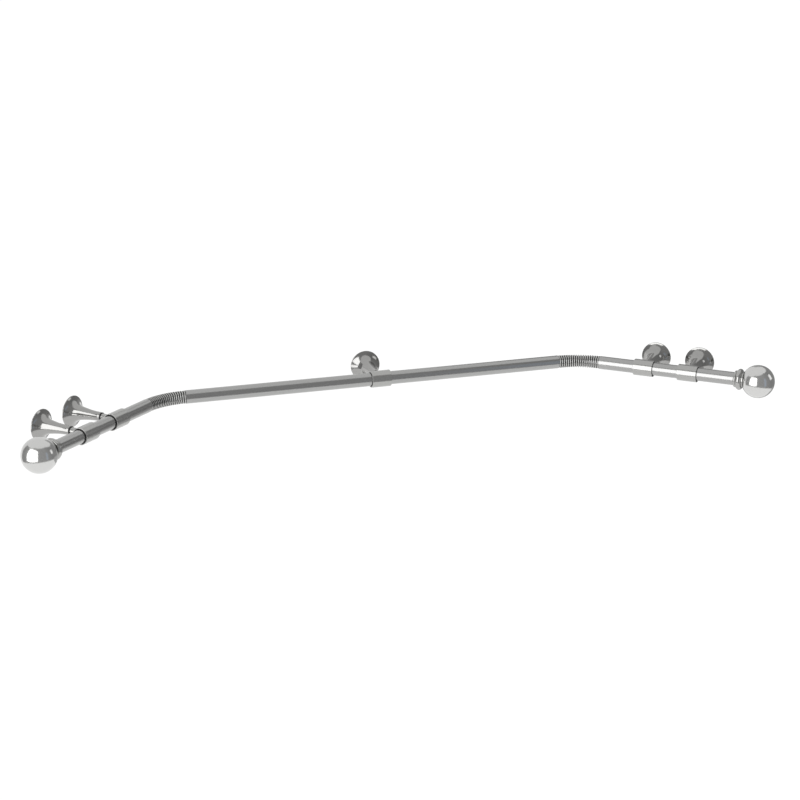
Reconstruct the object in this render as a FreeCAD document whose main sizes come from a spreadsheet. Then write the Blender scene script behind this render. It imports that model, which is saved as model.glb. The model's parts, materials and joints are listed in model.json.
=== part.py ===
import FreeCAD, Part

import math
import os

import Sketcher

# Bay-window curtain pole: a straight centre pole, two bendable corner joints, two arms with ball finials and
# five trumpet wall brackets. The row frame has its origin in the middle of the centre bracket's wall face,
# +X along the centre pole, +Y into the wall and +Z up. Lengths are in millimetres and angles in degrees.

SIZES = {
    # poles
    "pole_diameter": 28.0, "pole_wall": 1.2, "pole_chamfer": 0.4,
    "centre_half_length": 414.0, "centre_shift": -7.0, "arm_length": 299.0,
    # corner joints
    "arc_left": 96.0, "arc_right": 94.0, "bend_left": 43.0, "bend_right": 42.0,
    "sleeve_bore": 16.0, "sleeve_root": 24.4, "rib_diameter": 27.2, "rib_angle": 1.25,
    "core_diameter": 15.0, "plug_length": 32.0, "plug_bore": 8.0, "fit_gap": 0.05,
    # wall plate and trumpet arm of a bracket
    "plate_diameter": 56.8, "plate_thickness": 2.0, "screw_circle": 40.0,
    "screw_hole": 4.6, "boss_diameter": 20.0, "boss_height": 22.0,
    "base_diameter": 65.0, "rim_height": 2.0, "cup_diameter": 57.2, "cup_depth": 2.2,
    "hollow_diameter": 38.0, "hollow_depth": 8.5, "socket_mouth": 25.0, "socket_depth": 16.0,
    "waist_diameter": 28.0, "waist_height": 24.0, "flare_radius": 30.0, "taper_radius": 228.0,
    "neck_diameter": 18.4, "neck_height": 70.0, "trumpet_length": 72.0, "lip_diameter": 16.8,
    "ring_diameter": 18.0, "ring_thickness": 2.6,
    # stem and collar of a bracket
    "stem_diameter": 14.6, "stem_start": 15.0, "stem_end": 66.0,
    "collar_length": 42.5, "collar_diameter": 35.0, "collar_bore": 32.0, "liner_recess": 0.8,
    "grip_diameter": 5.0, "grip_socket": 2.4, "grip_inset": 0.3, "grip_depth": 1.4,
    # finial
    "spigot_length": 30.0, "bead_root": 31.0, "bead_width": 6.5, "bead_radius": 3.4,
    "collet_root": 39.0, "collet_width": 10.5, "collet_radius": 6.2,
    "throat_diameter": 35.0, "ball_radius": 35.0, "ball_centre": 51.0,
    "stud_diameter": 8.0, "stud_start": -12.0, "stud_end": 42.0, "stud_gap": 1.0,
}

RIB_COUNT = 19
SCREW_COUNT = 3
FULL_TURN = 360.0

# how far the pole stands off the wall on each of its sections, as the sliding stems are set
PROJECTION = {"centre": 104.0, "left": 110.0, "right": 94.0}

# where each collar's middle sits: the pole section it is on and its distance from that section's start
BRACKETS = {
    "centre": ("centre", 0.0),
    "left_inner": ("left", 102.5),
    "left_outer": ("left", 202.5),
    "right_inner": ("right", 100.0),
    "right_outer": ("right", 197.5),
}


class Size:
    """A length or angle that carries both its spreadsheet expression and its present value."""

    def __init__(self, text, value):
        self.text = text
        self.value = value

    def combine(self, other, sign, result):
        other_text = other.text if isinstance(other, Size) else repr(other)
        return Size("(%s %s %s)" % (self.text, sign, other_text), result)

    def __add__(self, other):
        return self.combine(other, "+", self.value + number(other))

    def __sub__(self, other):
        return self.combine(other, "-", self.value - number(other))

    def __mul__(self, other):
        return self.combine(other, "*", self.value * number(other))

    def __truediv__(self, other):
        return self.combine(other, "/", self.value / number(other))

    def __neg__(self):
        return Size("(0 - %s)" % self.text, -self.value)


def number(size):
    return size.value if isinstance(size, Size) else float(size)


doc = FreeCAD.newDocument("BayPole")
sheet = doc.addObject("Spreadsheet::Sheet", "Sizes")
for row, (alias, amount) in enumerate(SIZES.items(), start=1):
    sheet.set("A%d" % row, alias)
    sheet.set("B%d" % row, repr(amount))
    sheet.setAlias("B%d" % row, alias)
doc.recompute()


def size(alias):
    return Size("Sizes." + alias, SIZES[alias])


def bind(target, path, amount):
    if isinstance(amount, Size):
        target.setExpression(path, amount.text)


def arc_through(start, end, radius):
    """Three points of the arc from start to end; a positive radius puts its centre left of that direction."""
    chord = end - start
    middle = (start + end) * 0.5
    left = FreeCAD.Vector(-chord.y, chord.x, 0).normalize()
    reach = math.sqrt(max(radius * radius - (chord.Length / 2) ** 2, 0.0))
    centre = middle + left * math.copysign(reach, radius)
    out = (middle - centre).normalize() if reach > 1e-6 else left * -1
    return centre + out * abs(radius)


def draw_outline(sketch, corners):
    """A closed outline. A corner is (u, v), or (u, v, radius) where the edge that leaves it is an arc."""
    points = [FreeCAD.Vector(number(corner[0]), number(corner[1]), 0) for corner in corners]
    ends = []
    for index, corner in enumerate(corners):
        start, end = points[index], points[(index + 1) % len(points)]
        if len(corner) == 2:
            sketch.addGeometry(Part.LineSegment(start, end), False)
            ends.append((1, 2))
            continue
        radius = number(corner[2])
        middle = arc_through(start, end, radius)
        leftward = radius > 0
        edge = Part.Arc(start, middle, end) if leftward else Part.Arc(end, middle, start)
        sketch.addGeometry(edge, False)
        ends.append((1, 2) if leftward else (2, 1))
    for index, corner in enumerate(corners):
        following = (index + 1) % len(corners)
        sketch.addConstraint(
            Sketcher.Constraint("Coincident", index, ends[index][1], following, ends[following][0]))
        for kind, amount in (("DistanceX", corner[0]), ("DistanceY", corner[1])):
            made = sketch.addConstraint(
                Sketcher.Constraint(kind, index, ends[index][0], number(amount)))
            bind(sketch, "Constraints[%d]" % made, amount)
        if len(corner) == 3:
            made = sketch.addConstraint(Sketcher.Constraint("Radius", index, abs(number(corner[2]))))
            bind(sketch, "Constraints[%d]" % made, corner[2] if number(corner[2]) > 0 else -corner[2])


def draw_circle(sketch, across, up, diameter):
    centre = FreeCAD.Vector(number(across), number(up), 0)
    index = sketch.addGeometry(Part.Circle(centre, FreeCAD.Vector(0, 0, 1), number(diameter) / 2), False)
    for kind, amount in (("DistanceX", across), ("DistanceY", up)):
        made = sketch.addConstraint(Sketcher.Constraint(kind, index, 3, number(amount)))
        bind(sketch, "Constraints[%d]" % made, amount)
    made = sketch.addConstraint(Sketcher.Constraint("Diameter", index, number(diameter)))
    bind(sketch, "Constraints[%d]" % made, diameter)


def new_body(label):
    body = doc.addObject("PartDesign::Body", label)
    body.Label = label
    return body


def new_sketch(body, name, plane):
    sketch = body.newObject("Sketcher::SketchObject", name)
    planes = {feature.Role: feature for feature in body.Origin.OriginFeatures}
    sketch.AttachmentSupport = [(planes[plane], "")]
    sketch.MapMode = "FlatFace"
    return sketch


def revolve(body, sketch, axis, angle=FULL_TURN):
    turned = body.newObject("PartDesign::Revolution", "Revolution")
    turned.Profile = sketch
    turned.ReferenceAxis = (sketch, [axis])
    turned.Angle = number(angle)
    bind(turned, "Angle", angle)
    return turned


def cut_circle(body, plane, across, up, diameter, both_ways=False):
    sketch = new_sketch(body, "HoleSketch", plane)
    draw_circle(sketch, across, up, diameter)
    pocket = body.newObject("PartDesign::Pocket", "Pocket")
    pocket.Profile = sketch
    pocket.Type = "ThroughAll"
    if both_ways:
        pocket.Midplane = True
    doc.recompute()
    return pocket


def lathe(label, plane, axis, corners):
    body = new_body(label)
    sketch = new_sketch(body, "Outline", plane)
    draw_outline(sketch, corners)
    revolve(body, sketch, axis)
    return body


def place(body, origin, turn):
    body.Placement = FreeCAD.Placement(origin, FreeCAD.Rotation(FreeCAD.Vector(0, 0, 1), turn))
    return body


# --- frames that the sub-parts are placed in ---------------------------------------------------------------

def heading(degrees):
    return FreeCAD.Vector(math.cos(math.radians(degrees)), math.sin(math.radians(degrees)), 0)


def bend_radius(side):
    return size("arc_" + side) * math.degrees(1.0) / size("bend_" + side)


def pole_line():
    return FreeCAD.Vector(0, -PROJECTION["centre"], 0)


def bend_start(side):
    reach = -SIZES["centre_half_length"] if side == "left" else SIZES["centre_half_length"]
    return pole_line() + FreeCAD.Vector(SIZES["centre_shift"] + reach, 0, 0)


def bend_centre(side):
    return bend_start(side) - FreeCAD.Vector(0, bend_radius(side).value, 0)


def arm_turn(side):
    """Direction in which an arm runs away from its corner joint."""
    return 180.0 + SIZES["bend_left"] if side == "left" else -SIZES["bend_right"]


def wall_turn(side):
    """Turn about Z that carries +Y to the outward normal of the wall behind a pole section."""
    return {"centre": 0.0, "left": SIZES["bend_left"], "right": -SIZES["bend_right"]}[side]


def arm_start(side):
    return bend_centre(side) + heading(wall_turn(side) + 90.0) * bend_radius(side).value


def collar_point(side, along):
    if side == "centre":
        return pole_line() + FreeCAD.Vector(along, 0, 0)
    return arm_start(side) + heading(arm_turn(side)) * along


# --- poles and corner joints -------------------------------------------------------------------------------

def pole(label, start, end):
    inner = size("pole_diameter") / 2 - size("pole_wall")
    outer = size("pole_diameter") / 2
    bevel = size("pole_chamfer")
    return lathe(label, "XY_Plane", "H_Axis", [
        (start, inner), (end, inner), (end, outer - bevel), (end - bevel, outer),
        (start + bevel, outer), (start, outer - bevel)])


def zero_length():
    """A start at the section's own origin, kept as an expression so that offsets from it stay bound."""
    return size("pole_chamfer") - size("pole_chamfer")


def centre_pole():
    half = size("centre_half_length")
    origin = pole_line() + FreeCAD.Vector(SIZES["centre_shift"], 0, 0)
    return place(pole("centre_pole", -half, half), origin, 0.0)


def arm_pole(side):
    body = pole(side + "_arm_pole", zero_length(), size("arm_length"))
    return place(body, arm_start(side), arm_turn(side))


def bend_sleeve(side):
    """Ribbed sleeve of a corner joint: a bent tube with evenly spaced raised rings."""
    body = new_body(side + "_bend_sleeve")
    radius = bend_radius(side)
    tube = new_sketch(body, "TubeSection", "XZ_Plane")
    draw_circle(tube, radius, 0, size("sleeve_root"))
    draw_circle(tube, radius, 0, size("sleeve_bore"))
    revolve(body, tube, "V_Axis", size("bend_" + side))
    ring = new_sketch(body, "RingSection", "XZ_Plane")
    draw_circle(ring, radius, 0, size("rib_diameter"))
    draw_circle(ring, radius, 0, size("sleeve_bore"))
    rib = revolve(body, ring, "V_Axis", size("rib_angle"))
    doc.recompute()
    ribs = body.newObject("PartDesign::PolarPattern", "Ribs")
    ribs.Originals = [rib]
    ribs.Axis = (ring, ["V_Axis"])
    ribs.Occurrences = RIB_COUNT
    span = size("bend_" + side) - size("rib_angle")
    ribs.Angle = span.value
    bind(ribs, "Angle", span)
    body.Tip = ribs
    return place(body, bend_centre(side), 90.0 if side == "left" else 90.0 + wall_turn(side))


def bend_core(side):
    body = new_body(side + "_bend_core")
    sketch = new_sketch(body, "Section", "XZ_Plane")
    draw_circle(sketch, bend_radius(side), 0, size("core_diameter"))
    revolve(body, sketch, "V_Axis", size("bend_" + side))
    return place(body, bend_centre(side), 90.0 if side == "left" else 90.0 + wall_turn(side))


def bend_plug(label, origin, turn):
    """Spigot that holds a corner joint in the end of a pole; local +X runs into the pole."""
    outer = size("pole_diameter") / 2 - size("pole_wall") - size("fit_gap")
    inner = size("plug_bore") / 2
    bevel = size("pole_chamfer")
    far = size("plug_length")
    body = lathe(label, "XY_Plane", "H_Axis", [
        (zero_length(), inner), (far, inner), (far, outer - bevel), (far - bevel, outer), (zero_length(), outer)])
    return place(body, origin, turn)


def corner_joint(side):
    inward = 0.0 if side == "left" else 180.0
    return [
        bend_sleeve(side), bend_core(side),
        bend_plug(side + "_bend_plug_inner", bend_start(side), inward),
        bend_plug(side + "_bend_plug_outer", arm_start(side), arm_turn(side))]


# --- wall brackets -----------------------------------------------------------------------------------------

def wall_plate(label):
    """Round plate screwed to the wall, with the threaded boss that carries the trumpet."""
    plate, boss = size("plate_diameter") / 2, size("boss_diameter") / 2
    body = lathe(label, "XY_Plane", "V_Axis", [
        (0, 0), (plate, 0), (plate, -size("plate_thickness")), (boss, -size("plate_thickness")),
        (boss, -size("boss_height")), (0, -size("boss_height"))])
    doc.recompute()
    hole = cut_circle(body, "XZ_Plane", size("screw_circle") / 2, 0, size("screw_hole"), both_ways=True)
    holes = body.newObject("PartDesign::PolarPattern", "Holes")
    holes.Originals = [hole]
    holes.Axis = (hole.Profile[0], ["N_Axis"])
    holes.Occurrences = SCREW_COUNT
    holes.Angle = FULL_TURN
    body.Tip = holes
    return body


def trumpet(label):
    """Flared arm: a thin rim on the wall, a tight flare, a long taper to the neck and a hollow back."""
    bore = size("stem_diameter") / 2 + size("fit_gap")
    socket = size("boss_diameter") / 2 + size("fit_gap")
    return lathe(label, "XY_Plane", "V_Axis", [
        (size("cup_diameter") / 2, 0),
        (size("base_diameter") / 2, 0),
        (size("base_diameter") / 2, -size("rim_height"), size("flare_radius")),
        (size("waist_diameter") / 2, -size("waist_height"), size("taper_radius")),
        (size("neck_diameter") / 2, -size("neck_height")),
        (size("lip_diameter") / 2, -size("trumpet_length")),
        (bore, -size("trumpet_length")),
        (bore, -(size("boss_height") + size("plate_thickness") / 2)),
        (socket, -(size("boss_height") + size("plate_thickness") / 2)),
        (socket, -size("socket_depth")),
        (size("socket_mouth") / 2, -size("socket_depth")),
        (size("hollow_diameter") / 2, -size("hollow_depth")),
        (size("cup_diameter") / 2, -size("cup_depth"))])


def neck_ring(label):
    bore = size("stem_diameter") / 2 + size("fit_gap")
    near, far = size("trumpet_length"), size("trumpet_length") + size("ring_thickness")
    outer = size("ring_diameter") / 2
    return lathe(label, "XY_Plane", "V_Axis", [(bore, -near), (outer, -near), (outer, -far), (bore, -far)])


def stem(label):
    """Round stem that slides in the trumpet; its foot is hollowed to sit on the collar."""
    outer = size("stem_diameter") / 2
    body = lathe(label, "XY_Plane", "V_Axis", [
        (0, size("stem_start")), (outer, size("stem_start")), (outer, size("stem_end")), (0, size("stem_end"))])
    doc.recompute()
    cut_circle(body, "YZ_Plane", 0, 0, size("collar_diameter"), both_ways=True)
    return body


def pole_ring(label, bore, outer, length):
    """A ring round the pole with a hole on its underside for the grip screw."""
    body = lathe(label, "XY_Plane", "H_Axis", [
        (-(length / 2), bore), (length / 2, bore), (length / 2, outer), (-(length / 2), outer)])
    doc.recompute()
    cut_circle(body, "XY_Plane", 0, 0, size("grip_diameter"))
    return body


def collar(label):
    return pole_ring(label, size("collar_bore") / 2, size("collar_diameter") / 2, size("collar_length"))


def liner(label):
    bore = size("pole_diameter") / 2 + size("fit_gap")
    length = size("collar_length") - size("liner_recess") * 2
    return pole_ring(label, bore, size("collar_bore") / 2, length)


def grip_screw(label):
    """Headless screw with a socket, under the collar; a small gap is left above its tip."""
    outer = size("grip_diameter") / 2 - size("fit_gap")
    socket = size("grip_socket") / 2
    foot = size("collar_diameter") / 2 - size("grip_inset")
    tip = size("pole_diameter") / 2 + size("grip_inset")
    return lathe(label, "XZ_Plane", "V_Axis", [
        (0, -tip), (0, -(foot - size("grip_depth"))), (socket, -(foot - size("grip_depth"))), (socket, -foot),
        (outer, -foot), (outer, -tip)])


def bracket(name):
    side, along = BRACKETS[name]
    axis_point, turn = collar_point(side, along), wall_turn(side)
    wall_point = axis_point + heading(turn + 90.0) * PROJECTION[side]
    on_wall = [
        wall_plate(name + "_wall_plate"), trumpet(name + "_trumpet"), neck_ring(name + "_neck_ring")]
    on_pole = [
        stem(name + "_stem"), collar(name + "_collar"), liner(name + "_liner"),
        grip_screw(name + "_grip_screw")]
    return [place(body, wall_point, turn) for body in on_wall] + [
        place(body, axis_point, turn) for body in on_pole]


# --- finials -----------------------------------------------------------------------------------------------

def finial_neck(label):
    """Spigot, bead, collet ring and tapered throat, turned in one piece."""
    stud = size("stud_diameter") / 2 + size("fit_gap")
    spigot = size("pole_diameter") / 2 - size("pole_wall") - size("fit_gap")
    bead_end = size("bead_width")
    collet_end = size("bead_width") + size("collet_width")
    return lathe(label, "XY_Plane", "H_Axis", [
        (-size("spigot_length"), stud), (-size("spigot_length"), spigot), (zero_length(), spigot),
        (zero_length(), size("bead_root") / 2, -size("bead_radius")),
        (bead_end, size("bead_root") / 2), (bead_end, size("collet_root") / 2, -size("collet_radius")),
        (collet_end, size("collet_root") / 2), (ball_seat(), size("throat_diameter") / 2),
        (ball_seat(), stud)])


def ball_seat():
    """Where the ball's flat seat lies: the ball is as wide there as the throat."""
    radius, throat = size("ball_radius"), size("throat_diameter") / 2
    drop = math.sqrt(radius.value ** 2 - throat.value ** 2)
    text = "sqrt(%s ^ 2 - %s ^ 2)" % (radius.text, throat.text)
    return size("ball_centre") - Size(text, drop)


def finial_ball(label):
    stud = size("stud_diameter") / 2 + size("fit_gap")
    pole_end = size("ball_centre") + size("ball_radius")
    return lathe(label, "XY_Plane", "H_Axis", [
        (ball_seat(), stud), (ball_seat(), size("throat_diameter") / 2, -size("ball_radius")),
        (pole_end, 0), (size("stud_end") + size("stud_gap"), 0),
        (size("stud_end") + size("stud_gap"), stud)])


def finial_stud(label):
    outer, bevel = size("stud_diameter") / 2, size("pole_chamfer")
    start, end = size("stud_start"), size("stud_end")
    return lathe(label, "XY_Plane", "H_Axis", [
        (start, 0), (end, 0), (end, outer - bevel), (end - bevel, outer), (start + bevel, outer),
        (start, outer - bevel)])


def finial(side):
    tip = arm_start(side) + heading(arm_turn(side)) * SIZES["arm_length"]
    bodies = [
        finial_neck(side + "_finial_neck"), finial_ball(side + "_finial_ball"),
        finial_stud(side + "_finial_stud")]
    return [place(body, tip, arm_turn(side)) for body in bodies]


# --- the whole pole ----------------------------------------------------------------------------------------

def build():
    nodes = [centre_pole()]
    for side in ("left", "right"):
        nodes += [arm_pole(side)] + corner_joint(side) + finial(side)
    for name in BRACKETS:
        nodes += bracket(name)
    doc.recompute()
    return nodes


def check(nodes):
    for item in doc.Objects:
        if "Invalid" in item.State or "Error" in item.State:
            raise RuntimeError("%s did not build: %s" % (item.Label, item.State))
    for node in nodes:
        if node.Shape.isNull() or not node.Shape.isValid() or not node.Shape.Solids:
            raise RuntimeError("%s has no valid solid" % node.Label)


NODES = build()
check(NODES)
os.makedirs("parts", exist_ok=True)
for node in NODES:
    node.Shape.exportStep("parts/%s.step" % node.Label)
    print("%-26s %10.1f mm3 %s" % (node.Label, node.Shape.Volume, len(node.Shape.Solids)))
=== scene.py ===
import json
import math

import bmesh
import bpy
from mathutils import Matrix, Vector


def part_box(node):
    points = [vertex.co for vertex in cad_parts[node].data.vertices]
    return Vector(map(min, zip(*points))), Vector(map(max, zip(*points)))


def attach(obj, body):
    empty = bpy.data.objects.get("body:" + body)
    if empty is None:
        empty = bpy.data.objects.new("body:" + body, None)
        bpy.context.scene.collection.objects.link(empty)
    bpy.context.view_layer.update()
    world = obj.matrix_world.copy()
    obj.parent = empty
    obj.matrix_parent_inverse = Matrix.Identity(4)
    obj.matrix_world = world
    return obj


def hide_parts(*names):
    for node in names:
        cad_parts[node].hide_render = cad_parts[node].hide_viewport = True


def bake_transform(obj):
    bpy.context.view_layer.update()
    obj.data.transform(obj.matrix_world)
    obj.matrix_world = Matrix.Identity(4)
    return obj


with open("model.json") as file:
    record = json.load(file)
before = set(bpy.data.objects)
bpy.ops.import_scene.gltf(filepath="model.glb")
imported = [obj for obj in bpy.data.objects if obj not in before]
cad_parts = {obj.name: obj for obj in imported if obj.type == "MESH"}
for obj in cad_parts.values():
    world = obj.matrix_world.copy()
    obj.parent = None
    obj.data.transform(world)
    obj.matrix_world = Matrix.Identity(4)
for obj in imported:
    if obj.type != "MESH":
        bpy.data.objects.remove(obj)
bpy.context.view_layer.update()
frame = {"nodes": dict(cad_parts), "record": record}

# A bay-window curtain pole in satin metal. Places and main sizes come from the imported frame. The sizes given
# here are edge roundings and profile points, in metres.
MM = 0.001
UP = Vector((0, 0, 1))
TURN_SEGMENTS = 112
SHARP_ANGLE = math.radians(35)
MERGE_DISTANCE = 1e-7
FILLET_LIMIT = 0.49
MOUNTS = {mount["name"]: mount for mount in frame["record"]["mounts"]}
JOINTS = {joint["name"]: joint for joint in frame["record"]["behaviour"]["joints"]}
BRACKETS = [name[:-len("_wall_face")] for name in MOUNTS if name.endswith("_wall_face")]
SIDES = ("left", "right")


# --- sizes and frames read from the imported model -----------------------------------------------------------

def middle(node):
    low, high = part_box(node)
    return (Vector(low) + Vector(high)) / 2


def extent(node):
    low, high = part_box(node)
    return Vector(high) - Vector(low)


def turned_length(node, axis):
    """Length along a level axis of a round node, from its box."""
    span = extent(node)
    if abs(axis.x) > abs(axis.y):
        return (span.x - span.z * abs(axis.y)) / abs(axis.x)
    return (span.y - span.z * abs(axis.x)) / abs(axis.y)


def frame_along(origin, axis):
    """Matrix whose +X runs along a level axis, with +Z up."""
    across = UP.cross(axis).normalized()
    return Matrix.Translation(origin) @ Matrix((axis, across, UP)).transposed().to_4x4()


POLE_RADIUS = extent("centre_pole").z / 2
POLE_Y = middle("centre_pole").y
COLLAR_RADIUS = extent("centre_collar").z / 2
COLLAR_LENGTH = extent("centre_collar").x
LINER_LENGTH = extent("centre_liner").x
LINER_RADIUS = extent("centre_liner").z / 2
BASE_RADIUS = extent("centre_trumpet").z / 2
TRUMPET_LENGTH = extent("centre_trumpet").y
RING_RADIUS = extent("centre_neck_ring").z / 2
RING_THICKNESS = extent("centre_neck_ring").y
STEM_RADIUS = extent("centre_stem").z / 2
BALL_RADIUS = extent("left_finial_ball").z / 2
SLEEVE_RADIUS = extent("left_bend_sleeve").z / 2
CORE_RADIUS = extent("left_bend_core").z / 2
FIT_GAP = 0.05 * MM
LINER_GAP = 0.02 * MM
EDGE, FINE_EDGE = 0.5 * MM, 0.3 * MM
POLE_WALL, POLE_EDGE = 1.2 * MM, 0.4 * MM
X_AXIS = Vector((1, 0, 0))


class Arm:
    """One arm: its axis, the ends of its tube and the corner joint before it."""

    def __init__(self, side):
        self.side = side
        self.body = side + "_arm"
        self.axis = Vector(JOINTS[side + "_finial_pull"]["axis"])
        self.angle = math.radians(-JOINTS[side + "_bend"]["range_deg"][0])
        self.length = turned_length(side + "_arm_pole", self.axis)
        self.start = middle(side + "_arm_pole") - self.axis * self.length / 2
        self.end = self.start + self.axis * self.length
        low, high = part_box("centre_pole")
        self.sign = -1 if side == "left" else 1
        self.bend_start = Vector((low[0] if side == "left" else high[0], POLE_Y, 0))
        self.bend_radius = abs(self.start.x - self.bend_start.x) / math.sin(self.angle)

    def bend_point(self, share):
        """Point and direction on the joint's centre line; share is 0 at the centre pole, 1 at the arm."""
        turn = self.angle * share
        point = self.bend_start + Vector((
            self.sign * self.bend_radius * math.sin(turn), -self.bend_radius * (1 - math.cos(turn)), 0))
        return point, Vector((self.sign * math.cos(turn), -math.sin(turn), 0))


ARMS = {side: Arm(side) for side in SIDES}


# --- mesh helpers ------------------------------------------------------------------------------------------

def rounded(corners, closed, steps=5):
    """Outline points with each corner (x, r, fillet) rounded to its fillet radius.

    A fillet takes at most FILLET_LIMIT of the sides beside it, so that two neighbours never cross.
    """
    points = []
    count = len(corners)
    for index, (x, r, fillet) in enumerate(corners):
        here = Vector((x, r))
        if fillet <= 0 or (not closed and index in (0, count - 1)):
            points.append(here)
            continue
        before = Vector(corners[index - 1][:2]) - here
        after = Vector(corners[(index + 1) % count][:2]) - here
        half = before.angle(after) / 2
        reach = min(fillet / math.tan(half), before.length * FILLET_LIMIT, after.length * FILLET_LIMIT)
        start, end = here + before.normalized() * reach, here + after.normalized() * reach
        for step in range(steps + 1):
            share = step / steps
            points.append(start * (1 - share) ** 2 + here * 2 * share * (1 - share) + end * share ** 2)
    return points


def add_object(name, data):
    obj = bpy.data.objects.new(name, data)
    bpy.context.scene.collection.objects.link(obj)
    return obj


def shade_smooth(mesh_data):
    """Smooth shading, apart from edges sharper than SHARP_ANGLE."""
    for face in mesh_data.polygons:
        face.use_smooth = True
    mesh_data.set_sharp_from_angle(angle=SHARP_ANGLE)


def finish_mesh(name, mesh_data, place):
    mesh_data.update()
    obj = add_object(name, mesh_data)
    obj.matrix_world = place
    shade_smooth(mesh_data)
    weighted = obj.modifiers.new("weighted_normals", "WEIGHTED_NORMAL")
    weighted.keep_sharp = True
    return obj


def skin(name, rings, place, loop_closed, path_closed=False):
    """Mesh from rows of points, with faces between neighbouring rows.

    loop_closed joins the end of each row to its start; path_closed joins the last row to the first.
    """
    data = bmesh.new()
    made = [[data.verts.new(point) for point in ring] for ring in rings]
    pairs = list(zip(made, made[1:] + made[:1])) if path_closed else list(zip(made, made[1:]))
    for first, second in pairs:
        span = len(first) if loop_closed else len(first) - 1
        for index in range(span):
            following = (index + 1) % len(first)
            data.faces.new((first[index], second[index], second[following], first[following]))
    bmesh.ops.remove_doubles(data, verts=data.verts, dist=MERGE_DISTANCE)
    bmesh.ops.dissolve_degenerate(data, edges=data.edges, dist=MERGE_DISTANCE)
    bmesh.ops.recalc_face_normals(data, faces=data.faces)
    mesh_data = bpy.data.meshes.new(name)
    data.to_mesh(mesh_data)
    data.free()
    return finish_mesh(name, mesh_data, place)


def lathe(name, corners, place, closed=True, segments=TURN_SEGMENTS):
    """Solid of revolution about local X. A closed outline makes a ring; an open one ends on the axis."""
    outline = rounded(corners, closed)
    rings = []
    for index in range(segments):
        turn = 2 * math.pi * index / segments
        rings.append([(p.x, p.y * math.cos(turn), p.y * math.sin(turn)) for p in outline])
    return skin(name, rings, place, loop_closed=closed, path_closed=True)


def arc_points(start, end, radius, steps):
    """Points of the arc from start to end whose centre is left of that direction for a positive radius."""
    start, end = Vector(start), Vector(end)
    chord = end - start
    left = Vector((-chord.y, chord.x)).normalized()
    reach = math.sqrt(radius * radius - (chord.length / 2) ** 2)
    centre = (start + end) / 2 + left * math.copysign(reach, radius)
    first, last = start - centre, end - centre
    sweep = first.angle_signed(last)
    return [tuple(centre + Matrix.Rotation(-sweep * step / steps, 2) @ first) + (0.0,)
            for step in range(steps + 1)]


def drill(obj, cutter):
    """Cuts cutter out of obj for good, then removes cutter."""
    cut = obj.modifiers.new("cut", "BOOLEAN")
    cut.operation = "DIFFERENCE"
    cut.object = cutter
    cut.solver = "EXACT"
    obj.modifiers.move(obj.modifiers.find("cut"), 0)
    bpy.context.view_layer.update()
    weighted = obj.modifiers["weighted_normals"]
    weighted.show_viewport = False
    evaluated = obj.evaluated_get(bpy.context.evaluated_depsgraph_get())
    obj.data = bpy.data.meshes.new_from_object(evaluated)
    obj.modifiers.remove(obj.modifiers["cut"])
    weighted.show_viewport = True
    bpy.data.objects.remove(cutter)
    shade_smooth(obj.data)


# --- materials ---------------------------------------------------------------------------------------------

def new_material(name):
    material = bpy.data.materials.new(name)
    material.use_nodes = True
    tree = material.node_tree
    return material, tree, tree.nodes["Principled BSDF"]


def add_node(tree, kind, inputs=(), **settings):
    node = tree.nodes.new(kind)
    for key, value in settings.items():
        setattr(node, key, value)
    for key, value in dict(inputs).items():
        if isinstance(value, bpy.types.NodeSocket):
            tree.links.new(value, node.inputs[key])
        else:
            node.inputs[key].default_value = value
    return node


def metal(name, colour, roughness, grain, grain_depth=0.012, spread=0.03):
    """Bare metal with a directional grain. grain scales local X, Y and Z: large values make fine lines."""
    material, tree, shader = new_material(name)
    coords = add_node(tree, "ShaderNodeTexCoord")
    mapping = add_node(tree, "ShaderNodeMapping", {"Vector": coords.outputs["Object"], "Scale": grain})
    lines = add_node(tree, "ShaderNodeTexNoise", {
        "Vector": mapping.outputs["Vector"], "Scale": 1.0, "Detail": 4.0, "Roughness": 0.6})
    patches = add_node(tree, "ShaderNodeTexNoise", {
        "Vector": coords.outputs["Object"], "Scale": 14.0, "Detail": 3.0, "Roughness": 0.5})
    tone = add_node(tree, "ShaderNodeValToRGB", {"Fac": lines.outputs["Fac"]})
    tone.color_ramp.elements[0].position = 0.3
    tone.color_ramp.elements[0].color = tuple(c * (1 - spread) for c in colour) + (1,)
    tone.color_ramp.elements[1].position = 0.7
    tone.color_ramp.elements[1].color = tuple(min(1.0, c * (1 + spread)) for c in colour) + (1,)
    tree.links.new(tone.outputs["Color"], shader.inputs["Base Color"])
    blend = add_node(tree, "ShaderNodeMath", {0: lines.outputs["Fac"], 1: patches.outputs["Fac"]},
                     operation="ADD")
    rough = add_node(tree, "ShaderNodeMapRange", {
        "Value": blend.outputs["Value"], "From Min": 0.6, "From Max": 1.4,
        "To Min": roughness * 0.92, "To Max": roughness * 1.08})
    tree.links.new(rough.outputs["Result"], shader.inputs["Roughness"])
    bump = add_node(tree, "ShaderNodeBump", {
        "Height": lines.outputs["Fac"], "Strength": grain_depth, "Distance": 0.0002})
    tree.links.new(bump.outputs["Normal"], shader.inputs["Normal"])
    shader.inputs["Metallic"].default_value = 1.0
    return material


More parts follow.
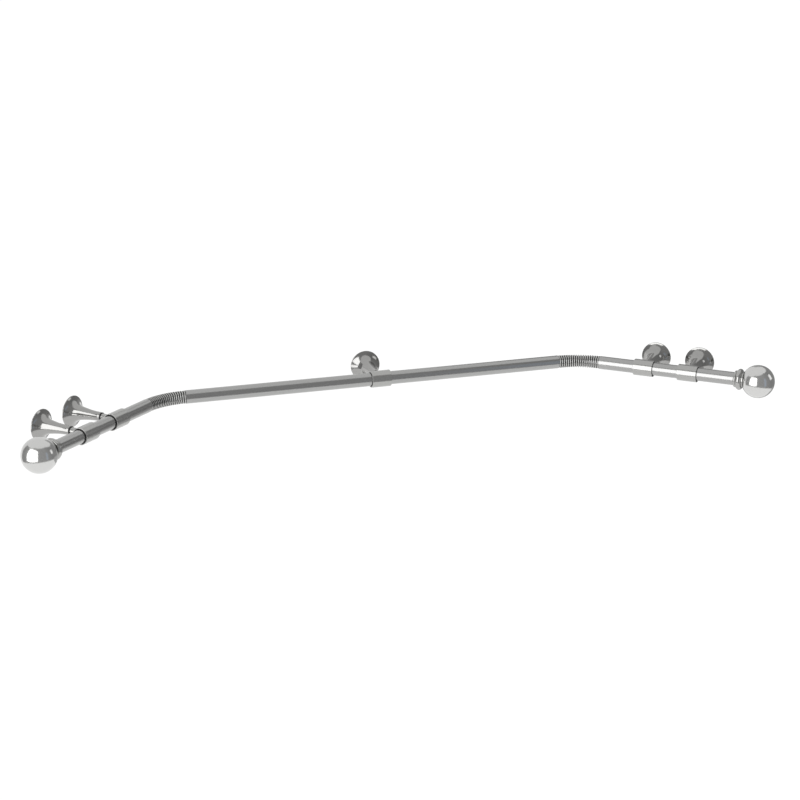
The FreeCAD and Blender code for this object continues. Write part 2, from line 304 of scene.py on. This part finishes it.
def plastic(name, colour, roughness):
    """Moulded nylon: a faint mottle and a fine skin texture."""
    material, tree, shader = new_material(name)
    coords = add_node(tree, "ShaderNodeTexCoord")
    mottle = add_node(tree, "ShaderNodeTexNoise", {
        "Vector": coords.outputs["Object"], "Scale": 160.0, "Detail": 3.0})
    tone = add_node(tree, "ShaderNodeValToRGB", {"Fac": mottle.outputs["Fac"]})
    tone.color_ramp.elements[0].color = tuple(c * 0.8 for c in colour) + (1,)
    tone.color_ramp.elements[1].color = tuple(c * 1.3 for c in colour) + (1,)
    tree.links.new(tone.outputs["Color"], shader.inputs["Base Color"])
    bump = add_node(tree, "ShaderNodeBump", {
        "Height": mottle.outputs["Fac"], "Strength": 0.05, "Distance": 0.0002})
    tree.links.new(bump.outputs["Normal"], shader.inputs["Normal"])
    shader.inputs["Roughness"].default_value = roughness
    return material


DRAWN_GRAIN = (6.0, 900.0, 900.0)
TURNED_GRAIN = (1500.0, 20.0, 20.0)
EVEN_GRAIN = (240.0, 240.0, 240.0)
SATIN_TUBE = metal("satin_tube", (0.405, 0.405, 0.40), 0.22, DRAWN_GRAIN)
SATIN_TURNED = metal("satin_turned", (0.43, 0.43, 0.42), 0.20, TURNED_GRAIN)
SATIN_CAST = metal("satin_cast", (0.37, 0.368, 0.36), 0.14, EVEN_GRAIN)
SATIN_SLEEVE = metal("satin_sleeve", (0.52, 0.52, 0.51), 0.18, EVEN_GRAIN)
# near-black metal laid on the sleeve's grooves as painted shade, where the ribs shade their roots
GROOVE_PAINTED_SHADE = metal("painted_groove_shade", (0.045, 0.045, 0.045), 0.4, EVEN_GRAIN)
POLISHED = metal("polished", (0.64, 0.64, 0.63), 0.16, EVEN_GRAIN, 0.004, 0.01)
ZINC = metal("zinc_plate", (0.46, 0.46, 0.45), 0.34, EVEN_GRAIN, 0.05, 0.1)
ALLOY = metal("plain_alloy", (0.58, 0.59, 0.60), 0.38, TURNED_GRAIN, 0.06)
NYLON = plastic("black_nylon", (0.016, 0.016, 0.017), 0.45)


def wear(obj, material):
    obj.data.materials.clear()
    obj.data.materials.append(material)


def dress(obj, material, slot_name, body, *nodes):
    """Gives a new piece its material and the body it rides on, and hides the CAD nodes it stands for."""
    wear(obj, material)
    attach(obj, body)
    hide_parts(*nodes)
    return obj


# --- poles and corner joints -------------------------------------------------------------------------------

def tube(name, start, axis, length, inner):
    return lathe(name, [
        (0, inner, 0), (length, inner, 0), (length, POLE_RADIUS, POLE_EDGE), (0, POLE_RADIUS, POLE_EDGE)],
        frame_along(start, axis))


def build_poles():
    inner = POLE_RADIUS - POLE_WALL
    low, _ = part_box("centre_pole")
    centre = tube("centre_tube", Vector((low[0], POLE_Y, 0)), X_AXIS, extent("centre_pole").x, inner)
    dress(centre, SATIN_TUBE, "satin_steel", "pole", "centre_pole")
    for arm in ARMS.values():
        piece = tube(arm.side + "_arm_tube", arm.start, arm.axis, arm.length, inner)
        dress(piece, SATIN_TUBE, "satin_steel", arm.body, arm.side + "_arm_pole")


RIB_COUNT = 19
RIB_STEPS = 12
CROWN_SHARE = 0.66
ROOT_DEPTH = 2.2 * MM
# groove faces deeper than this below the crowns take the painted shade
GROOVE_SHADE_DEPTH = 0.4 * ROOT_DEPTH
SLEEVE_BORE = 8.0 * MM
CORE_STEPS = 24
CORE_SEGMENTS = 48
# the first and last rings of a solid piece shrink almost to a point
CAP_RADIUS = 0.001 * MM


def rib_profile(phase):
    """Share of full height at a place in one rib's pitch: a rounded crown between grooves."""
    distance = abs(phase - 0.5) * 2 / CROWN_SHARE
    return math.sqrt(max(0.0, 1 - distance ** 4))


def bent_ring(arm, share, radius, segments):
    point, direction = arm.bend_point(share)
    across = UP.cross(direction).normalized()
    return [tuple(point + (across * math.cos(turn) + UP * math.sin(turn)) * radius)
            for turn in (2 * math.pi * index / segments for index in range(segments))]


def bent_skin(name, arm, outline, bore=None, segments=96):
    """A bent round piece from (share, radius) steps, with a bore if one is given."""
    rings = [bent_ring(arm, share, radius, segments) for share, radius in outline]
    if bore is None:
        caps = [bent_ring(arm, share, CAP_RADIUS, segments) for share in (outline[0][0], outline[-1][0])]
        return skin(name, caps[:1] + rings + caps[1:], Matrix.Identity(4), loop_closed=True)
    back = [bent_ring(arm, share, bore, segments) for share, _ in reversed(outline)]
    return skin(name, rings + back, Matrix.Identity(4), loop_closed=True, path_closed=True)


def paint_groove_shade(sleeve, arm):
    """Gives the dark second material, which is painted shade, to the sides and roots of the grooves."""
    limit = SLEEVE_RADIUS - GROOVE_SHADE_DEPTH
    centre = arm.bend_start + Vector((0, -arm.bend_radius, 0))
    for face in sleeve.data.polygons:
        out = (face.center - centre).to_2d()
        depth = math.hypot(out.length - arm.bend_radius, face.center.z)
        if SLEEVE_BORE + MM < depth < limit:
            face.material_index = 1


def sleeve_outline():
    """(share, radius) steps of the ribbed sleeve from the centre pole to the arm."""
    outline = []
    steps = RIB_COUNT * RIB_STEPS
    for step in range(steps + 1):
        height = rib_profile((step % RIB_STEPS) / RIB_STEPS)
        outline.append((step / steps, SLEEVE_RADIUS - ROOT_DEPTH * (1 - height)))
    return outline


def build_corner_joints():
    for arm in ARMS.values():
        sleeve = bent_skin(arm.side + "_ribbed_sleeve", arm, sleeve_outline(), SLEEVE_BORE)
        wear(sleeve, SATIN_SLEEVE)
        # the grooves take the painted shade as a second material
        sleeve.data.materials.append(GROOVE_PAINTED_SHADE)
        paint_groove_shade(sleeve, arm)
        core_outline = [(step / CORE_STEPS, CORE_RADIUS) for step in range(CORE_STEPS + 1)]
        core = bent_skin(arm.side + "_joint_core", arm, core_outline, segments=CORE_SEGMENTS)
        wear(core, ALLOY)
        for piece, node in ((sleeve, "_bend_sleeve"), (core, "_bend_core")):
            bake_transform(piece)
            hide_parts(arm.side + node)
        for end in ("inner", "outer"):
            wear(frame["nodes"][arm.side + "_bend_plug_" + end], ALLOY)


# --- brackets ----------------------------------------------------------------------------------------------

# the trumpet's points are (distance from the wall, radius)
WAIST = (24.0 * MM, 14.0 * MM)
NECK = (70.0 * MM, 9.2 * MM)
FLARE_ARC = 30 * MM
TAPER_ARC = 228 * MM
LIP_RADIUS, LIP_EDGE = 8.4 * MM, 0.2 * MM
RIM_HEIGHT, RIM_EDGE = 2.0 * MM, 0.6 * MM
HOLLOW_FLOOR = (16 * MM, 12.5 * MM)
HOLLOW_WAIST = (8.5 * MM, 19 * MM)
HOLLOW_MOUTH = (2.2 * MM, 28.6 * MM)
BOSS_RADIUS = 10.05 * MM
BOSS_END = 23 * MM
RING_CROWN = 0.9 * MM
# the stem's foot sinks into the collar, with a straight band above it; its far end is bevelled
STEM_LENGTH, STEM_SINK, STEM_BAND = 50.0 * MM, 0.2 * MM, 1.2 * MM
STEM_BEVEL, STEM_TIP_SHARE = 0.6 * MM, 0.92
LINER_EDGE, LINER_MOUTH = 0.2 * MM, 0.4 * MM
SCREW_RADIUS = extent("centre_grip_screw").x / 2
SCREW_END_GAP = 0.3 * MM
SCREW_SEGMENTS, CUT_SEGMENTS = 48, 40
# the screw hole's cutter reaches past the liner and past the collar
CUT_INSIDE, CUT_OUTSIDE = 2 * MM, 4 * MM
SOCKET_RADIUS, SOCKET_DEPTH = 1.3 * MM, 1.4 * MM
SCREW_BEVEL, SOCKET_BEVEL = 0.35 * MM, 0.15 * MM


def trumpet(name, place):
    """Flared arm with a hollow back; local +X runs from the wall to the pole."""
    flare = arc_points((RIM_HEIGHT, BASE_RADIUS), WAIST, FLARE_ARC, steps=28)
    taper = arc_points(WAIST, NECK, TAPER_ARC, steps=20)
    bore = STEM_RADIUS + FIT_GAP
    return lathe(name, [
        (0, HOLLOW_MOUTH[1], FINE_EDGE), (0, BASE_RADIUS, EDGE), flare[0][:2] + (RIM_EDGE,)]
        + flare[1:] + taper[1:]
        + [(TRUMPET_LENGTH, LIP_RADIUS, EDGE), (TRUMPET_LENGTH, bore, LIP_EDGE),
           (BOSS_END, bore, 0), (BOSS_END, BOSS_RADIUS, 0), (HOLLOW_FLOOR[0], BOSS_RADIUS, 0),
           HOLLOW_FLOOR + (EDGE,), HOLLOW_WAIST + (EDGE,), HOLLOW_MOUTH + (FINE_EDGE,)],
        place)


def neck_ring(name, place):
    near, far = TRUMPET_LENGTH, TRUMPET_LENGTH + RING_THICKNESS
    bore = STEM_RADIUS + FIT_GAP
    return lathe(name, [
        (near, bore, 0), (near, RING_RADIUS, EDGE), (far, RING_RADIUS, RING_CROWN), (far, bore, FINE_EDGE)],
        place)


def stem(name, place, reach):
    """Stem from the collar to its end inside the trumpet; its foot follows the collar's round."""
    foot_radius = COLLAR_RADIUS - STEM_SINK
    rings = []
    for index in range(TURN_SEGMENTS):
        turn = 2 * math.pi * index / TURN_SEGMENTS
        side, height = math.cos(turn) * STEM_RADIUS, math.sin(turn) * STEM_RADIUS
        foot = math.sqrt(foot_radius ** 2 - height ** 2)
        rings.append([(foot, side, height), (foot + STEM_BAND, side, height),
                      (reach - STEM_BEVEL, side, height),
                      (reach, side * STEM_TIP_SHARE, height * STEM_TIP_SHARE), (reach, 0, 0)])
    return skin(name, rings, place, loop_closed=False, path_closed=True)


def ring_on_pole(name, place, length, bore, outer, outer_edge, bore_edge):
    return lathe(name, [
        (-length / 2, bore, bore_edge), (length / 2, bore, bore_edge),
        (length / 2, outer, outer_edge), (-length / 2, outer, outer_edge)], place)


def screw_cutter(place, radius):
    """Plain rod along the grip screw's hole, without the shading modifier."""
    near, far = POLE_RADIUS - CUT_INSIDE, COLLAR_RADIUS + CUT_OUTSIDE
    cutter = lathe("cutter", [(near, 0, 0), (near, radius, 0), (far, radius, 0), (far, 0, 0)],
                   place, closed=False, segments=CUT_SEGMENTS)
    cutter.modifiers.clear()
    return cutter


def grip_screw(name, place, radius):
    """Headless screw with a chamfered edge and a hexagon socket, seen from below."""
    foot = COLLAR_RADIUS - SCREW_END_GAP
    tip = POLE_RADIUS + SCREW_END_GAP

    def hexagon(turn):
        part = turn % (math.pi / 3) - math.pi / 6
        return SOCKET_RADIUS * math.cos(math.pi / 6) / math.cos(part)

    rings = []
    for index in range(SCREW_SEGMENTS):
        turn = 2 * math.pi * index / SCREW_SEGMENTS
        steps = [(tip, 0.0), (tip, radius - SCREW_BEVEL), (tip + SCREW_BEVEL, radius),
                 (foot - SCREW_BEVEL, radius), (foot, radius - SCREW_BEVEL),
                 (foot, hexagon(turn) + SOCKET_BEVEL), (foot - SOCKET_BEVEL, hexagon(turn)),
                 (foot - SOCKET_DEPTH, hexagon(turn)), (foot - SOCKET_DEPTH, 0.0)]
        rings.append([(x, r * math.cos(turn), r * math.sin(turn)) for x, r in steps])
    return skin(name, rings, place, loop_closed=False, path_closed=True)


def build_bracket(name):
    wall = Vector(MOUNTS[name + "_wall_face"]["pos_m"])
    outward = -Vector(MOUNTS[name + "_wall_face"]["axis"])
    axis_point = middle(name + "_collar")
    along = UP.cross(outward)
    on_wall, on_pole = frame_along(wall, outward), frame_along(axis_point, along)
    mount, clasp = name + "_mount", name + "_clasp"

    dress(trumpet(name + "_flared_arm", on_wall), SATIN_CAST, "satin_steel", mount, name + "_trumpet")
    dress(neck_ring(name + "_dark_ring", on_wall), NYLON, "black_nylon", mount, name + "_neck_ring")
    wear(frame["nodes"][name + "_wall_plate"], ZINC)

    stem_reach = (middle(name + "_stem") - axis_point).length + STEM_LENGTH / 2
    dress(stem(name + "_round_stem", frame_along(axis_point, -outward), stem_reach),
          SATIN_TURNED, "satin_steel", clasp, name + "_stem")
    below = Matrix.Translation(axis_point) @ Matrix.Rotation(math.radians(90), 4, "Y")
    hole_radius = SCREW_RADIUS + FIT_GAP
    shell = ring_on_pole(name + "_collar_shell", on_pole, COLLAR_LENGTH, LINER_RADIUS + LINER_GAP,
                         COLLAR_RADIUS, EDGE, FINE_EDGE)
    drill(shell, screw_cutter(below, hole_radius))
    dress(shell, SATIN_TURNED, "satin_steel", clasp, name + "_collar")
    lining = ring_on_pole(name + "_nylon_lining", on_pole, LINER_LENGTH, POLE_RADIUS + FIT_GAP,
                          LINER_RADIUS, LINER_EDGE, LINER_MOUTH)
    drill(lining, screw_cutter(below, hole_radius))
    dress(lining, NYLON, "black_nylon", clasp, name + "_liner")
    dress(grip_screw(name + "_socket_screw", below, SCREW_RADIUS), ZINC, "zinc_screw", clasp,
          name + "_grip_screw")


# --- finials -----------------------------------------------------------------------------------------------

SPIGOT_LENGTH = 30 * MM
SPIGOT_RADIUS = POLE_RADIUS - POLE_WALL - FIT_GAP
STUD_BORE = 4.05 * MM
# each ring of the neck: width, radius at its roots, radius of its rounding
BEAD_WIDTH, BEAD_ROOT, BEAD_ARC = 6.5 * MM, 15.5 * MM, 3.4 * MM
COLLET_WIDTH, COLLET_ROOT, COLLET_ARC = 10.5 * MM, 19.5 * MM, 6.2 * MM
GROOVE_RADIUS, GROOVE_SLOPE = 15.5 * MM, 0.5 * MM
BALL_CENTRE = 51 * MM
BALL_FLAT_RADIUS = 17.5 * MM
BALL_STEPS, BALL_SEGMENTS = 72, 144


def finial_neck(name, place, seat):
    """Spigot in the arm's end, then a bead, a larger rounded ring and a groove up to the ball."""
    bead = arc_points((0, BEAD_ROOT), (BEAD_WIDTH, BEAD_ROOT), -BEAD_ARC, steps=16)
    collet_end = BEAD_WIDTH + COLLET_WIDTH
    collet = arc_points((BEAD_WIDTH, COLLET_ROOT), (collet_end, COLLET_ROOT), -COLLET_ARC, steps=22)
    return lathe(name, [
        (-SPIGOT_LENGTH, STUD_BORE, FINE_EDGE), (-SPIGOT_LENGTH, SPIGOT_RADIUS, EDGE),
        (0, SPIGOT_RADIUS, 0)]
        + bead + collet
        + [(collet_end + GROOVE_SLOPE, GROOVE_RADIUS, FINE_EDGE), (seat, GROOVE_RADIUS, 0),
           (seat, STUD_BORE, 0)],
        place)


def finial_ball(name, place, seat):
    """Polished ball with a small flat where it seats on the neck. Its place goes into its mesh."""
    first = math.asin(BALL_FLAT_RADIUS / BALL_RADIUS)
    outline = [(seat, 0, 0), (seat, BALL_FLAT_RADIUS, 0)]
    for step in range(1, BALL_STEPS + 1):
        turn = first + (math.pi - first) * step / BALL_STEPS
        outline.append((BALL_CENTRE - BALL_RADIUS * math.cos(turn), BALL_RADIUS * math.sin(turn), 0))
    ball = lathe(name, outline, place, closed=False, segments=BALL_SEGMENTS)
    ball.data.transform(place)
    ball.matrix_world = Matrix.Identity(4)
    return ball


def build_finials():
    for arm in ARMS.values():
        body = arm.side + "_finial"
        place = frame_along(arm.end, arm.axis)
        seat = BALL_CENTRE - math.sqrt(BALL_RADIUS ** 2 - BALL_FLAT_RADIUS ** 2)
        dress(finial_neck(body + "_turned_neck", place, seat), SATIN_TURNED, "satin_steel", body,
              body + "_neck")
        dress(finial_ball(body + "_polished_ball", place, seat), POLISHED, "polished_alloy", body,
              body + "_ball")
        wear(frame["nodes"][body + "_stud"], ZINC)


# --- studio ------------------------------------------------------------------------------------------------

FLOOR_DROP = 2.0
FLOOR_HALF_SIZE = 60.0
FLOOR_COLOUR = (0.92, 0.92, 0.92, 1)
WORLD_STRENGTH = 0.88
FILL_ENERGY, FILL_ANGLE = 0.8, math.radians(60)
WALL_RADIUS = 4.2
# azimuth in degrees (0 in front, positive towards +X), elevation of the wall's top in degrees, brightness
WALL = (
    (-125, 30, 0.32), (-95, 39, 0.36), (-75, 44, 0.38), (-55, 55, 0.38), (25, 58, 0.38), (50, 57, 0.32),
    (75, 48, 0.28), (100, 38, 0.30), (130, 31, 0.32), (140, 40, 0.42), (155, 42, 0.42))
# name, azimuth, lowest and highest elevation, width and distance in metres, colour, strength
CARDS = (
    ("key_card", -55, -19, 41, 4.1, 3.7, (1, 1, 1), 2.6),
    ("side_card", 74, 6, 27, 1.1, 3.8, (1, 1, 1), 1.3),
    ("low_card", 130, -42, -22, 3.4, 2.0, (1, 1, 1), 0.5),
    ("cool_card", 30, -16, 26, 0.8, 4.0, (0.80, 0.88, 1.0), 0.55))
# angles in radians; the place is measured from the middle of the centre pole, in metres
CAMERA_YAW = math.radians(18.816)
CAMERA_PITCH = math.radians(17.53)
CAMERA_ROLL = math.radians(0.24)
CAMERA_FROM_POLE = Vector((-1.2818, -3.8934, 1.2473))
CAMERA_LENS, CAMERA_SENSOR = 91.08, 36.0


def emitter(name, colour, strength):
    material = bpy.data.materials.new(name)
    material.use_nodes = True
    tree = material.node_tree
    tree.nodes.clear()
    light = add_node(tree, "ShaderNodeEmission", {"Color": tuple(colour) + (1,), "Strength": strength})
    output = add_node(tree, "ShaderNodeOutputMaterial")
    tree.links.new(light.outputs["Emission"], output.inputs["Surface"])
    return material


def reflector_only(obj):
    """Seen only in reflections: it neither shows, shades nor lights the floor."""
    obj.visible_camera = False
    obj.visible_diffuse = False
    obj.visible_shadow = False
    obj.visible_transmission = False


def card(name, azimuth, low, high, width, distance, colour, strength):
    """Upright glowing card on a ring round the object; azimuth 0 is in front (-Y), positive towards +X."""
    turn = math.radians(azimuth)
    centre = Vector((math.sin(turn), -math.cos(turn), 0)) * distance
    across = Vector((math.cos(turn), math.sin(turn), 0)) * width / 2
    bottom = UP * distance * math.tan(math.radians(low))
    top = UP * distance * math.tan(math.radians(high))
    data = bpy.data.meshes.new(name)
    data.from_pydata([centre - across + bottom, centre + across + bottom,
                      centre + across + top, centre - across + top], [], [(0, 1, 2, 3)])
    data.materials.append(emitter(name, colour, strength))
    reflector_only(add_object(name, data))


def wall_between(table, azimuth):
    """Top elevation and brightness of the grey wall at an azimuth, from its table."""
    for (first, *low), (second, *high) in zip(table, table[1:]):
        if azimuth <= second:
            share = (azimuth - first) / (second - first)
            return [a + (b - a) * share for a, b in zip(low, high)]


def grey_wall(name, radius, table, step=5):
    """Curved grey wall round the front and sides, open at the back, for the dark band in the metal."""
    points, faces, glows = [], [], []
    for azimuth in range(table[0][0], table[-1][0] + 1, step):
        turn = math.radians(azimuth)
        top, glow = wall_between(table, azimuth)
        for height in (-FLOOR_DROP, radius * math.tan(math.radians(top))):
            points.append((math.sin(turn) * radius, -math.cos(turn) * radius, height))
            glows.append(glow)
        if len(points) > 2:
            last = len(points)
            faces.append((last - 4, last - 2, last - 1, last - 3))
    data = bpy.data.meshes.new(name)
    data.from_pydata(points, [], faces)
    glow_layer = data.attributes.new("glow", "FLOAT", "POINT")
    for index, glow in enumerate(glows):
        glow_layer.data[index].value = glow
    material = emitter(name, (1, 1, 1), 1.0)
    tree = material.node_tree
    glow_value = add_node(tree, "ShaderNodeAttribute", attribute_name="glow")
    tree.links.new(glow_value.outputs["Fac"], tree.nodes["Emission"].inputs["Strength"])
    data.materials.append(material)
    reflector_only(add_object(name, data))


def build_studio():
    data = bpy.data.meshes.new("floor")
    size = FLOOR_HALF_SIZE
    data.from_pydata([(-size, -size, -FLOOR_DROP), (size, -size, -FLOOR_DROP),
                      (size, size, -FLOOR_DROP), (-size, size, -FLOOR_DROP)], [], [(0, 1, 2, 3)])
    floor = add_object("floor", data)
    material, _, shader = new_material("pale_floor")
    shader.inputs["Base Color"].default_value = FLOOR_COLOUR
    shader.inputs["Roughness"].default_value = 0.9
    shader.inputs["Specular IOR Level"].default_value = 0.0
    data.materials.append(material)

    world = bpy.data.worlds.new("studio")
    world.use_nodes = True
    background = world.node_tree.nodes["Background"]
    background.inputs["Color"].default_value = (1, 1, 1, 1)
    background.inputs["Strength"].default_value = WORLD_STRENGTH
    bpy.context.scene.world = world

    fill = bpy.data.lights.new("overhead_fill", "SUN")
    fill.energy = FILL_ENERGY
    fill.angle = FILL_ANGLE
    lamp = add_object("overhead_fill", fill)
    lamp.visible_glossy = False

    grey_wall("grey_wall", WALL_RADIUS, WALL)
    for settings in CARDS:
        card(*settings)


def build_camera():
    data = bpy.data.cameras.new("camera")
    data.sensor_width = CAMERA_SENSOR
    data.lens = CAMERA_LENS
    camera = add_object("camera", data)
    place = CAMERA_FROM_POLE + Vector((0, POLE_Y, 0))
    turn = (Matrix.Rotation(-CAMERA_YAW, 4, "Z") @ Matrix.Rotation(math.radians(90) - CAMERA_PITCH, 4, "X")
            @ Matrix.Rotation(CAMERA_ROLL, 4, "Z"))
    camera.matrix_world = Matrix.Translation(place) @ turn
    bpy.context.scene.camera = camera
    bpy.context.scene.view_settings.view_transform = "Standard"
    bpy.context.scene.view_settings.look = "None"


build_poles()
build_corner_joints()
for bracket_name in BRACKETS:
    build_bracket(bracket_name)
build_finials()
build_studio()
build_camera()
